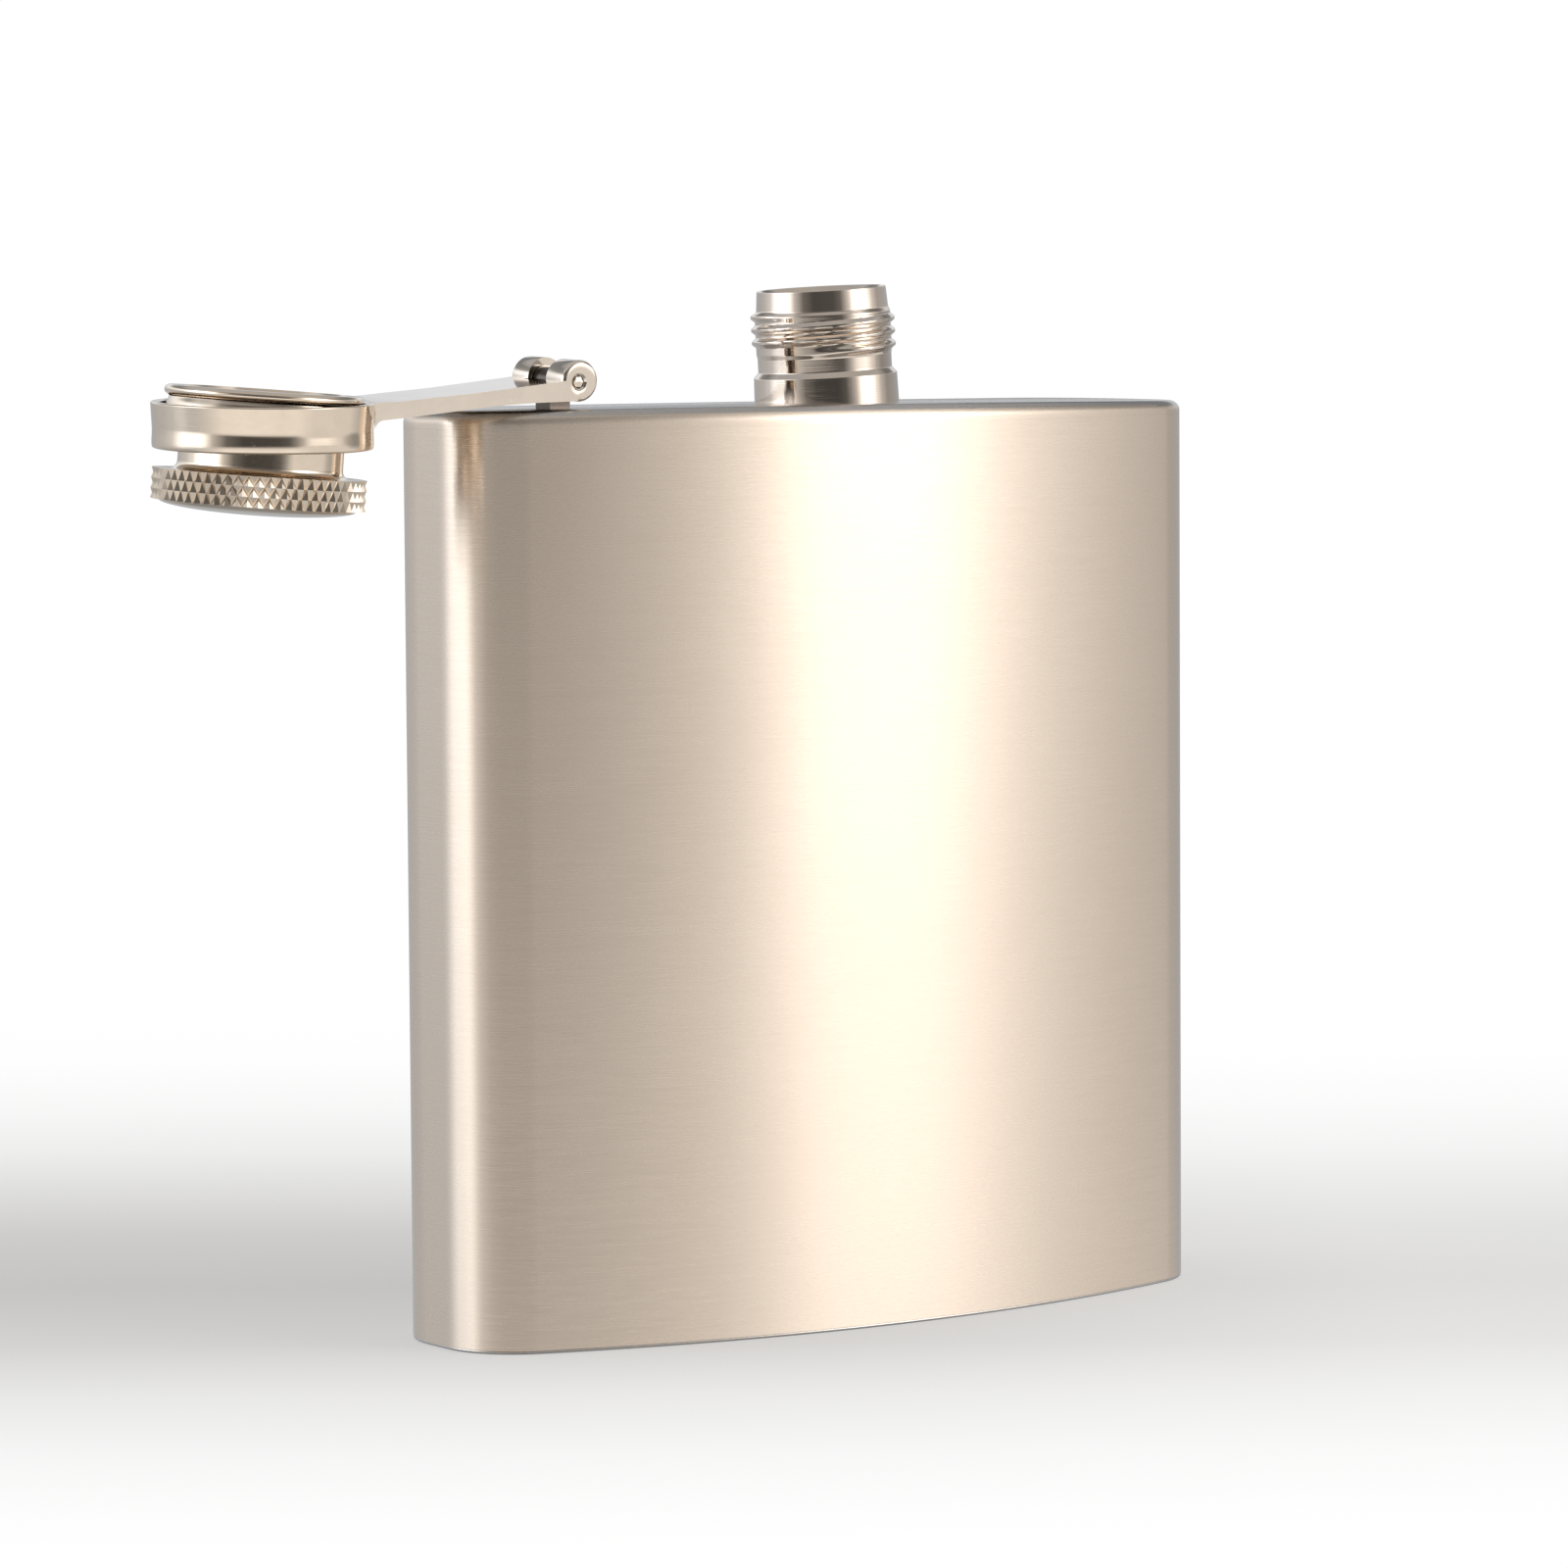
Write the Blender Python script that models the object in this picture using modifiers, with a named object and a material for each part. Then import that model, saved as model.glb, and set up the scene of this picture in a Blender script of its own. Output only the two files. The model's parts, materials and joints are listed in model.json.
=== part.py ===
"""Hip flask with a captive screw cap on a hinged arm, shown open.

Frame: origin at the centre of the body's flat base, +Z up, +X along the width
away from the hinge, -Y out of the convex front wall.  Units are metres.
"""

import math

import bmesh
import bpy
from mathutils import Vector

MM = 0.001
GAP = 0.3 * MM  # clearance between neighbouring solids

# Body: a kidney section, convex in front and concave behind
BODY_WIDTH = 92.0 * MM
BODY_DEPTH = 21.4 * MM
BODY_HEIGHT = 95.0 * MM
FRONT_RADIUS = 128.6 * MM
FRONT_CORNER = 8.6 * MM
BACK_CORNER = 8.8 * MM
WALL = 0.7 * MM
TOP_PLATE = 1.5 * MM
TOP_ROUND = 1.05 * MM
BOTTOM_PLATE = 1.0 * MM
BOTTOM_ROUND = 0.6 * MM
SKIRT_DEPTH = 2.2 * MM  # locating lip of each plate, inside the wall
SKIRT_THICK = 0.8 * MM

# Neck: a threaded spout that leans towards the hinge
NECK_X = -0.68 * MM
NECK_Y = 0.4 * MM
NECK_LEAN = math.radians(3.2)
NECK_HEIGHT = 12.15 * MM
NECK_BORE = 5.9 * MM
LIP_R = 6.7 * MM
LIP_FLARE = 0.1 * MM
LIP_HEIGHT = 2.2 * MM
RIM_ROUND = 0.15 * MM
CREST_R = 7.45 * MM
ROOT_R = 7.05 * MM
RELIEF_R = 6.95 * MM
BASE_RING_R = 7.5 * MM
BASE_RING_TOP = 3.2 * MM
THREAD_PITCH = 1.3 * MM
THREAD_TURNS = 3
FIRST_CREST = 3.1 * MM  # below the rim

# Hinge
PIN = Vector((-34.4, 0.5, 98.22)) * MM
PIN_TILT = math.radians(2.0)  # the pin's far end stands a little high
PIN_R = 0.65 * MM
PIN_HOLE_R = 0.75 * MM
BARREL_LENGTH = 9.8 * MM
MIDDLE_KNUCKLE = 3.1 * MM
KNUCKLE_R = 1.9 * MM
MIDDLE_KNUCKLE_R = 1.4 * MM
KNUCKLE_GAP = 0.15 * MM
KNUCKLE_ROUND = 0.4 * MM
STEM_X = 1.9 * MM
STEM_Y = 2.2 * MM

# Arm and collar, in the arm's own frame: pin axis along Y, arm towards -X
STRAP_WIDTH = 9.9 * MM
STRAP_TOP = ((0.0, 0.0), (-17.0, -1.22), (-20.5, -1.5), (-23.5, -1.6))  # (x, z) in mm
STRAP_UNDERSIDE = ((-18.5, -3.0), (-8.7, -2.13), (-5.0, -1.9))
STRAP_FILLET_AT = (-22.8 * MM, -4.47 * MM)  # centre of the fillet under the strap's end
STRAP_FILLET_R = 1.1 * MM
COLLAR_REACH = 33.75 * MM
COLLAR_TOP = -1.6 * MM
COLLAR_HEIGHT = 4.55 * MM
COLLAR_R = 11.02 * MM
COLLAR_BORE_R = 10.0 * MM
COLLAR_EYE_R = 8.62 * MM
COLLAR_SHOULDER = 2.5 * MM  # below the collar's top
COLLAR_ROUND = 0.5 * MM

# Cap, in its own frame: origin at the mouth, +Z out of the mouth
CAP_LEAN = math.radians(4.0)
CAP_PIVOT = 2.3 * MM  # below the collar's top, where both axes meet
CAP_PROUD = 1.15 * MM  # mouth above the collar's top
BEAD_R = 9.85 * MM
BEAD_HEIGHT = 1.0 * MM
FLANGE_R = 9.6 * MM
FLANGE_HEIGHT = 2.6 * MM
FLANGE_STEP = 1.8 * MM
CAP_MOUTH_R = 8.2 * MM
CAP_BORE_R = 7.72 * MM
CAP_MOUTH_TAPER = 1.2 * MM
STEM_R = 8.15 * MM
STEM_FILLET = 0.6 * MM
KNOB_TOP = 8.2 * MM
KNOB_R = 10.6 * MM
KNURL_HEIGHT = 3.05 * MM
DOME_R = 9.4 * MM
DOME_HEIGHT = 1.05 * MM
KNOB_CHAMFER = 0.3 * MM
CAVITY_DEPTH = 9.1 * MM
SEAT_R = 7.35 * MM  # radius of the cavity beyond the thread
SEAT_START = 5.0 * MM
SEAT_TAPER = 0.4 * MM
GASKET_TOP = 7.6 * MM
GASKET_THICK = 1.2 * MM
GASKET_R = 7.0 * MM
GASKET_HOLE_R = 4.0 * MM

STEEL = (0.66, 0.62, 0.57, 1.0)
POLISHED = (0.78, 0.76, 0.73, 1.0)
DARK_STEEL = (0.35, 0.33, 0.31, 1.0)
SILICONE = (0.85, 0.85, 0.83, 1.0)


def clear_scene():
    for obj in list(bpy.data.objects):
        bpy.data.objects.remove(obj, do_unlink=True)


def new_collection(name):
    collection = bpy.data.collections.new(name)
    bpy.context.scene.collection.children.link(collection)
    return collection


def new_material(name, color, metallic, roughness):
    material = bpy.data.materials.new(name)
    material.use_nodes = True
    shader = material.node_tree.nodes["Principled BSDF"]
    shader.inputs["Base Color"].default_value = color
    shader.inputs["Metallic"].default_value = metallic
    shader.inputs["Roughness"].default_value = roughness
    return material


def add_object(name, data, collection, parent=None, material=None):
    obj = bpy.data.objects.new(name, data)
    collection.objects.link(obj)
    obj.parent = parent
    if material:
        data.materials.append(material)
    return obj


def new_empty(name, collection, place, turn=(0.0, 0.0, 0.0), parent=None):
    """A marker that places the solids hung from it."""
    empty = add_object(name, None, collection, parent)
    empty.location = place
    empty.rotation_euler = turn
    return empty


def combine(obj, other, operation):
    """Cuts or joins another object with this one, and hides the other."""
    other.hide_render = True
    other.display_type = "WIRE"
    modifier = obj.modifiers.new(f"{operation.lower()}_{other.name}", "BOOLEAN")
    modifier.operation = operation
    modifier.solver = "EXACT"
    modifier.object = other


def arc(centre, radius, start, end, count):
    """Points on an arc from one angle to another, in degrees."""
    points = []
    for step in range(count + 1):
        angle = math.radians(start + (end - start) * step / count)
        x = centre[0] + radius * math.cos(angle)
        y = centre[1] + radius * math.sin(angle)
        points.append((x, y))
    return points


def body_outline(inset):
    """The body's section, moved inwards by an even distance.

    The front and back walls share one centre, so they stay parallel; each
    corner is an arc that meets a wall and the flat end.
    """
    centre_y = FRONT_RADIUS - BODY_DEPTH / 2
    back_radius = FRONT_RADIUS - BODY_DEPTH
    front_x = BODY_WIDTH / 2 - FRONT_CORNER
    back_x = BODY_WIDTH / 2 - BACK_CORNER
    front_lean = math.degrees(math.asin(front_x / (FRONT_RADIUS - FRONT_CORNER)))
    back_lean = math.degrees(math.asin(back_x / (back_radius + BACK_CORNER)))
    front_y = centre_y - math.sqrt((FRONT_RADIUS - FRONT_CORNER) ** 2 - front_x**2)
    back_y = centre_y - math.sqrt((back_radius + BACK_CORNER) ** 2 - back_x**2)
    centre = (0.0, centre_y)
    start, end = -90 - front_lean, -90 + front_lean
    points = arc(centre, FRONT_RADIUS - inset, start, end, 20)
    points += arc((front_x, front_y), FRONT_CORNER - inset, end, 0, 6)[1:]
    points += arc((back_x, back_y), BACK_CORNER - inset, 0, 90 + back_lean, 7)
    start, end = -90 + back_lean, -90 - back_lean
    points += arc(centre, back_radius + inset, start, end, 18)[1:-1]
    points += arc((-back_x, back_y), BACK_CORNER - inset, 90 - back_lean, 180, 7)
    points += arc((-front_x, front_y), FRONT_CORNER - inset, 180, 270 - front_lean, 6)[:-1]
    return points


def slab(name, outlines, low, high, collection, parent=None, material=None):
    """A flat outline, with any holes, extruded from one height to another."""
    curve = bpy.data.curves.new(f"{name}_outline", "CURVE")
    curve.dimensions = "2D"
    curve.fill_mode = "BOTH"
    curve.extrude = (high - low) / 2
    for outline in outlines:
        spline = curve.splines.new("POLY")
        spline.points.add(len(outline) - 1)
        for point, (x, y) in zip(spline.points, outline):
            point.co = (x, y, 0.0, 1.0)
        spline.use_cyclic_u = True
    drawn = add_object(f"{name}_outline", curve, collection)
    drawn.location = (0.0, 0.0, (low + high) / 2)
    bpy.context.view_layer.update()
    graph = bpy.context.evaluated_depsgraph_get()
    mesh = bpy.data.meshes.new_from_object(drawn.evaluated_get(graph))
    mesh.transform(drawn.matrix_world)
    mesh.name = name
    shape = bmesh.new()
    shape.from_mesh(mesh)
    bmesh.ops.remove_doubles(shape, verts=shape.verts, dist=0.01 * MM)
    shape.to_mesh(mesh)
    shape.free()
    bpy.data.objects.remove(drawn, do_unlink=True)
    return add_object(name, mesh, collection, parent, material)


def round_rim(obj, height, radius):
    """Round the outer edge of a plain slab at one of its faces."""
    shape = bmesh.new()
    shape.from_mesh(obj.data)
    near = 0.01 * MM
    caps = [f for f in shape.faces if abs(f.normal.z) > 0.9]
    caps = [f for f in caps if abs(f.calc_center_median().z - height) < near]
    bmesh.ops.dissolve_faces(shape, faces=caps)
    rim = [e for e in shape.edges if all(abs(v.co.z - height) < near for v in e.verts)]
    bmesh.ops.bevel(shape, geom=rim, offset=radius, segments=4, profile=0.5, affect="EDGES")
    shape.to_mesh(obj.data)
    shape.free()


def turned(name, profile, collection, parent=None, material=None, closed=True, steps=40):
    """A profile of (radius, height) points, turned about Z.

    It runs down the outer side.  A closed profile makes a ring; an open one
    starts and ends on the axis.
    """
    mesh = bpy.data.meshes.new(name)
    points = [(radius, 0.0, height) for radius, height in profile]
    edges = [(i, i + 1) for i in range(len(points) - 1)]
    if closed:
        edges.append((len(points) - 1, 0))
    mesh.from_pydata(points, edges, [])
    obj = add_object(name, mesh, collection, parent, material)
    screw = obj.modifiers.new("turn", "SCREW")
    screw.steps = steps
    screw.render_steps = steps
    screw.use_merge_vertices = True
    screw.merge_threshold = 0.01 * MM
    screw.use_smooth_shade = False
    return obj


def rod(name, radius, length, collection, parent=None, material=None, sides=24):
    """A cylinder along its parent's Y axis, centred on the parent."""
    mesh = bpy.data.meshes.new(name)
    shape = bmesh.new()
    bmesh.ops.create_cone(
        shape, cap_ends=True, segments=sides, radius1=radius, radius2=radius, depth=length
    )
    shape.to_mesh(mesh)
    shape.free()
    obj = add_object(name, mesh, collection, parent, material)
    obj.rotation_euler = (math.pi / 2, 0.0, 0.0)
    return obj


def box(name, low, high, collection, parent=None, material=None):
    """A block between two opposite corners."""
    mesh = bpy.data.meshes.new(name)
    shape = bmesh.new()
    bmesh.ops.create_cube(shape, size=1.0)
    low, high = Vector(low), Vector(high)
    size, centre = high - low, (high + low) / 2
    for vertex in shape.verts:
        vertex.co = Vector(a * b for a, b in zip(vertex.co, size)) + centre
    shape.to_mesh(mesh)
    shape.free()
    return add_object(name, mesh, collection, parent, material)


def rounded(obj, width, segments=2):
    bevel = obj.modifiers.new("rounded_edges", "BEVEL")
    bevel.width = width
    bevel.segments = segments
    bevel.limit_method = "ANGLE"
    bevel.angle_limit = math.radians(50)


def smooth(obj):
    obj.data.shade_smooth()
    obj.data.set_sharp_from_angle(angle=math.radians(35))


def make_body(parts, cutters, steel):
    """The wall, open at both ends, and the two pressed plates that close it."""
    wall = [body_outline(0.0), body_outline(WALL)]
    low = BOTTOM_PLATE + GAP
    high = BODY_HEIGHT - TOP_PLATE - GAP
    smooth(slab("body_shell", wall, low, high, parts, None, steel("body_shell")))

    lip = [body_outline(WALL + GAP), body_outline(WALL + GAP + SKIRT_THICK)]
    bite = 0.2 * MM  # how far each lip runs into its plate

    top_low = BODY_HEIGHT - TOP_PLATE
    top = slab("top_plate", wall[:1], top_low, BODY_HEIGHT, parts, None, steel("top_plate"))
    round_rim(top, BODY_HEIGHT, TOP_ROUND)
    smooth(top)
    combine(top, slab("top_lip", lip, top_low - SKIRT_DEPTH, top_low + bite, cutters), "UNION")

    bottom = slab("bottom_plate", wall[:1], 0.0, BOTTOM_PLATE, parts, None, steel("bottom_plate"))
    round_rim(bottom, 0.0, BOTTOM_ROUND)
    smooth(bottom)
    rise = BOTTOM_PLATE + SKIRT_DEPTH
    combine(bottom, slab("bottom_lip", lip, BOTTOM_PLATE - bite, rise, cutters), "UNION")

    hole = rod("neck_hole", NECK_BORE, 4 * (TOP_PLATE + SKIRT_DEPTH), cutters, sides=40)
    hole.rotation_euler = (0.0, -NECK_LEAN, 0.0)
    hole.location = (NECK_X, NECK_Y, BODY_HEIGHT)
    combine(top, hole, "DIFFERENCE")


def neck_profile():
    """Outer side of the spout from its rim down, then up the bore."""
    rim = NECK_HEIGHT
    edge = 0.3 * MM
    buried = -1.5 * MM  # trimmed off level by make_neck
    points = [
        (LIP_R - RIM_ROUND, rim),
        (LIP_R, rim - RIM_ROUND),
        (LIP_R + LIP_FLARE, rim - LIP_HEIGHT),
        (ROOT_R, rim - LIP_HEIGHT - edge),
    ]
    flank = THREAD_PITCH * 0.35
    flat = THREAD_PITCH * 0.1
    for turn in range(THREAD_TURNS):
        crest = rim - FIRST_CREST - turn * THREAD_PITCH
        points += [(ROOT_R, crest + flank), (CREST_R, crest + flat)]
        points += [(CREST_R, crest - flat), (ROOT_R, crest - flank)]
    points += [
        (RELIEF_R, BASE_RING_TOP + 1.2 * MM),
        (RELIEF_R, BASE_RING_TOP + 2 * edge),
        (BASE_RING_R, BASE_RING_TOP),
        (BASE_RING_R, buried),
        (NECK_BORE, buried),
        (NECK_BORE, rim - RIM_ROUND),
        (NECK_BORE + RIM_ROUND, rim),
    ]
    return points


def make_neck(parts, cutters, material):
    """The spout, trimmed level just over the top plate."""
    axis = new_empty("neck_axis", parts, (NECK_X, NECK_Y, BODY_HEIGHT), (0.0, -NECK_LEAN, 0.0))
    neck = turned("neck", neck_profile(), parts, axis, material)
    reach = 15 * MM
    below = box(
        "below_neck",
        (-reach, -reach, BODY_HEIGHT - reach),
        (reach, reach, BODY_HEIGHT + GAP),
        cutters,
    )
    combine(neck, below, "DIFFERENCE")


def make_hinge(parts, cutters, arm, steel):
    """The post with its middle knuckle, and the pin."""
    foot = PIN.z - BODY_HEIGHT - GAP
    post = box(
        "hinge_post",
        (PIN.x - STEM_X / 2, PIN.y - STEM_Y / 2, PIN.z - foot),
        (PIN.x + STEM_X / 2, PIN.y + STEM_Y / 2, PIN.z),
        parts,
        None,
        steel("hinge_post"),
    )
    combine(post, rod("middle_knuckle", MIDDLE_KNUCKLE_R, MIDDLE_KNUCKLE, cutters, arm), "UNION")
    combine(post, rod("post_pin_hole", PIN_HOLE_R, 2 * MIDDLE_KNUCKLE, cutters, arm), "DIFFERENCE")

    pin = rod("hinge_pin", PIN_R, BARREL_LENGTH - 0.2 * MM, parts, arm, steel("hinge_pin"))
    rounded(pin, 0.12 * MM, 1)


def strap_profile():
    """Side view of the strap as (x, z): its top, the end in the collar, its underside."""
    top = [(x * MM, z * MM) for x, z in STRAP_TOP]
    underside = [(x * MM, z * MM) for x, z in STRAP_UNDERSIDE]
    fillet = arc(STRAP_FILLET_AT, STRAP_FILLET_R, 180, 90, 6)
    end_x = -COLLAR_REACH + COLLAR_EYE_R
    end = [(end_x, COLLAR_TOP), (end_x, fillet[0][1])]
    return top + end + fillet + underside + [(0.0, -KNUCKLE_R)]


def make_arm(parts, cutters, arm, material):
    """The strap with its two outer knuckles, and the collar at its end."""
    half = STRAP_WIDTH / 2
    strap = slab("hinge_arm", [strap_profile()], -half, half, parts, arm, material)
    strap.rotation_euler = (math.pi / 2, 0.0, 0.0)
    barrel = rod("outer_knuckles", KNUCKLE_R, BARREL_LENGTH, cutters, arm, sides=32)
    rounded(barrel, KNUCKLE_ROUND)
    combine(strap, barrel, "UNION")
    reach = KNUCKLE_R + 0.5 * MM
    notch_half = MIDDLE_KNUCKLE / 2 + KNUCKLE_GAP
    notch = box(
        "knuckle_notch", (-reach, -notch_half, -reach), (reach, notch_half, reach), cutters, arm
    )
    combine(strap, notch, "DIFFERENCE")
    combine(strap, rod("arm_pin_hole", PIN_HOLE_R, 2 * BARREL_LENGTH, cutters, arm), "DIFFERENCE")
    room = rod("collar_room", COLLAR_R + GAP, 3 * COLLAR_HEIGHT, cutters, arm, sides=64)
    room.rotation_euler = (0.0, 0.0, 0.0)
    room.location = (-COLLAR_REACH, 0.0, COLLAR_TOP)
    combine(strap, room, "DIFFERENCE")
    smooth(strap)


def make_collar(parts, arm, material):
    """The ring that holds the cap; its shoulder carries the cap's flange."""
    low = -COLLAR_HEIGHT
    edge = 0.15 * MM
    turn = arc((COLLAR_R - COLLAR_ROUND, low + COLLAR_ROUND), COLLAR_ROUND, 0, -90, 3)
    profile = [(COLLAR_R - edge, 0.0), (COLLAR_R, -edge)] + turn
    profile += [
        (COLLAR_EYE_R, low),
        (COLLAR_EYE_R, -COLLAR_SHOULDER),
        (COLLAR_BORE_R, -COLLAR_SHOULDER),
        (COLLAR_BORE_R, -edge),
        (COLLAR_BORE_R + edge, 0.0),
    ]
    collar = turned("cap_collar", profile, parts, arm, material, steps=48)
    collar.location = (-COLLAR_REACH, 0.0, COLLAR_TOP)


def knob_profile():
    """Outer side of the knob from its stem's end to the dome, then up the cavity."""
    stem_top = -FLANGE_STEP - GAP
    top, low = -KNOB_TOP, -KNOB_TOP - KNURL_HEIGHT
    cavity = -CAVITY_DEPTH
    seat = -SEAT_START
    cove = arc((STEM_R + STEM_FILLET, top + STEM_FILLET), STEM_FILLET, 180, 270, 3)
    points = [(STEM_R, stem_top)] + cove
    points += [
        (KNOB_R - KNOB_CHAMFER, top),
        (KNOB_R, top - KNOB_CHAMFER),
        (KNOB_R, low + KNOB_CHAMFER),
        (KNOB_R - KNOB_CHAMFER, low),
    ]
    for share in (0.0, 0.25, 0.5, 0.75, 1.0):
        points.append((DOME_R * (1 - share), low - DOME_HEIGHT * (1 - (1 - share) ** 2)))
    points += [(0.0, cavity), (SEAT_R, cavity), (SEAT_R, seat)]
    points += [(CAP_BORE_R, seat + SEAT_TAPER), (CAP_BORE_R, stem_top)]
    return points


def make_cap(parts, arm, steel, silicone):
    """The knob with its stem, the flange ring on the stem, and the gasket."""
    pivot_at = (-COLLAR_REACH, 0.0, COLLAR_TOP - CAP_PIVOT)
    pivot = new_empty("cap_pivot", parts, pivot_at, (0.0, CAP_LEAN, 0.0), arm)
    mouth = new_empty("cap_mouth", parts, (0.0, 0.0, CAP_PIVOT + CAP_PROUD), parent=pivot)

    turned_solid("cap_knob", knob_profile(), parts, mouth, steel("cap_knob"))

    edge = 0.25 * MM
    bead_turn = arc((BEAD_R - BEAD_HEIGHT / 2, -BEAD_HEIGHT / 2), BEAD_HEIGHT / 2, 90, -60, 5)
    flange = [(CAP_MOUTH_R, 0.0)] + bead_turn
    flange += [
        (FLANGE_R, -BEAD_HEIGHT - edge),
        (FLANGE_R, -FLANGE_HEIGHT),
        (STEM_R + edge, -FLANGE_HEIGHT),
        (STEM_R + edge, -FLANGE_STEP),
        (CAP_BORE_R, -FLANGE_STEP),
        (CAP_BORE_R, -CAP_MOUTH_TAPER),
    ]
    turned("cap_flange", flange, parts, mouth, steel("cap_flange"))

    gasket = [
        (GASKET_R - edge, -GASKET_TOP),
        (GASKET_R, -GASKET_TOP - edge),
        (GASKET_R, -GASKET_TOP - GASKET_THICK),
        (GASKET_HOLE_R, -GASKET_TOP - GASKET_THICK),
        (GASKET_HOLE_R, -GASKET_TOP),
    ]
    turned("cap_gasket", gasket, parts, mouth, silicone)


def turned_solid(name, profile, collection, parent, material):
    """A turned cup: its profile crosses the axis once outside and once inside."""
    first = next(i for i, (radius, _) in enumerate(profile) if radius == 0.0)
    ordered = profile[first + 1:] + profile[: first + 1]
    turned(name, ordered, collection, parent, material, closed=False, steps=48)


def build():
    clear_scene()
    parts = new_collection("hip_flask")
    cutters = new_collection("cutters")

    def steel(name):
        finish = {
            "body_shell": (STEEL, 0.32),
            "top_plate": (STEEL, 0.28),
            "bottom_plate": (STEEL, 0.3),
            "hinge_post": (DARK_STEEL, 0.3),
        }
        color, roughness = finish.get(name, (POLISHED, 0.15))
        return new_material(name, color, 1.0, roughness)

    arm = new_empty("arm_axis", parts, PIN, (PIN_TILT, 0.0, 0.0))
    make_body(parts, cutters, steel)
    make_neck(parts, cutters, steel("neck"))
    make_hinge(parts, cutters, arm, steel)
    make_arm(parts, cutters, arm, steel("hinge_arm"))
    make_collar(parts, arm, steel("cap_collar"))
    make_cap(parts, arm, steel, new_material("cap_gasket", SILICONE, 0.0, 0.5))


build()
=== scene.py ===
"""Looks of the hip flask: every piece remade with its fine shape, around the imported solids.

Units are metres.  The frame is the part's own: +Z up, +X along the width away
from the hinge, -Y out of the convex front wall.
"""

import json
import math

import bmesh
import bpy
import numpy as np
from mathutils import Matrix, Vector


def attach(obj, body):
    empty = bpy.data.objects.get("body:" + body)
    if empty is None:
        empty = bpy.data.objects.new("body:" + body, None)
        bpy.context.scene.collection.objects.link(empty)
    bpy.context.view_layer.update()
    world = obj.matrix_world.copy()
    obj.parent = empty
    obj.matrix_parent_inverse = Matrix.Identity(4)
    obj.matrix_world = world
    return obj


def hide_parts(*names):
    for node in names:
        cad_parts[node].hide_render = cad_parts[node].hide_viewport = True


MM = 0.001
DEG = math.pi / 180
SHARP = 32 * DEG  # edges that bend more than this are shaded as corners
LEVEL = 0.55  # a face is level where the upright part of its normal is over this
WHITE = 1.02  # brightness of the plain background, and of the floor where it fades out

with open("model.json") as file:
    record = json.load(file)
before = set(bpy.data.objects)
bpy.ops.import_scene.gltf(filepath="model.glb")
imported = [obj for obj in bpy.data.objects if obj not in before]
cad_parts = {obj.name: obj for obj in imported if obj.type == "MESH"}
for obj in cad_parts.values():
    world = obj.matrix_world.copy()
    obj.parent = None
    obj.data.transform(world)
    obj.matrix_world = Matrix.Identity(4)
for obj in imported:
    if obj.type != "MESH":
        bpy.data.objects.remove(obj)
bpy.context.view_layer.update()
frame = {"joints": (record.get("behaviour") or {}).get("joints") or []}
joints = {joint["name"]: joint for joint in frame["joints"]}

# Body
WIDTH, DEPTH, HEIGHT = 92.0 * MM, 21.4 * MM, 95.0 * MM
FRONT_RADIUS, FRONT_CORNER, BACK_CORNER = 128.6 * MM, 8.6 * MM, 8.8 * MM
WALL = 0.7 * MM
SEAM = 0.005 * MM
TOP_SEAM_Z, BASE_SEAM_Z = 93.4 * MM, 0.32 * MM
TOP_ROUND, BASE_ROUND = 1.2 * MM, 0.25 * MM
CROWN, TOP_SLOPE = 0.33 * MM, 0.25 * MM

# Spout
SPOUT_X, SPOUT_Y, SPOUT_LEAN = -0.68 * MM, 0.4 * MM, 3.2 * DEG
SPOUT_HEIGHT, SPOUT_BORE, THREAD_ROOT_R = 12.15 * MM, 5.9 * MM, 7.04 * MM
THREAD_PITCH, THREAD_DEPTH = 1.33 * MM, 0.42 * MM
THREAD_TOP, THREAD_TURNS = 2.67 * MM, 2.62
THREAD_START = 145.5 * DEG

# Cap
KNOB_R, KNOB_TOP, KNURL_HEIGHT = 10.6 * MM, 8.2 * MM, 3.05 * MM
KNURL_COUNT, KNURL_ROWS, KNURL_DEPTH = 60, 3, 0.36 * MM
CAP_BORE_R, CAVITY_R, CAVITY_END = 7.72 * MM, 7.35 * MM, 9.1 * MM
INNER_THREAD_TOP, INNER_THREAD_TURNS, INNER_THREAD_DEPTH = 2.4 * MM, 2.6, 0.2 * MM


# ---------------------------------------------------------------- mesh helpers


def make_object(name, verts, faces, loop_uvs=None, smooth=True):
    mesh = bpy.data.meshes.new(name)
    mesh.from_pydata([tuple(v) for v in verts], [], faces)
    if loop_uvs is not None:
        layer = mesh.uv_layers.new(name="UVMap")
        layer.data.foreach_set("uv", np.asarray(loop_uvs, np.float32).ravel())
    mesh.validate()
    obj = bpy.data.objects.new(name, mesh)
    bpy.context.scene.collection.objects.link(obj)
    if smooth:
        mesh.shade_smooth()
        mesh.set_sharp_from_angle(angle=SHARP)
    return obj


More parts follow.
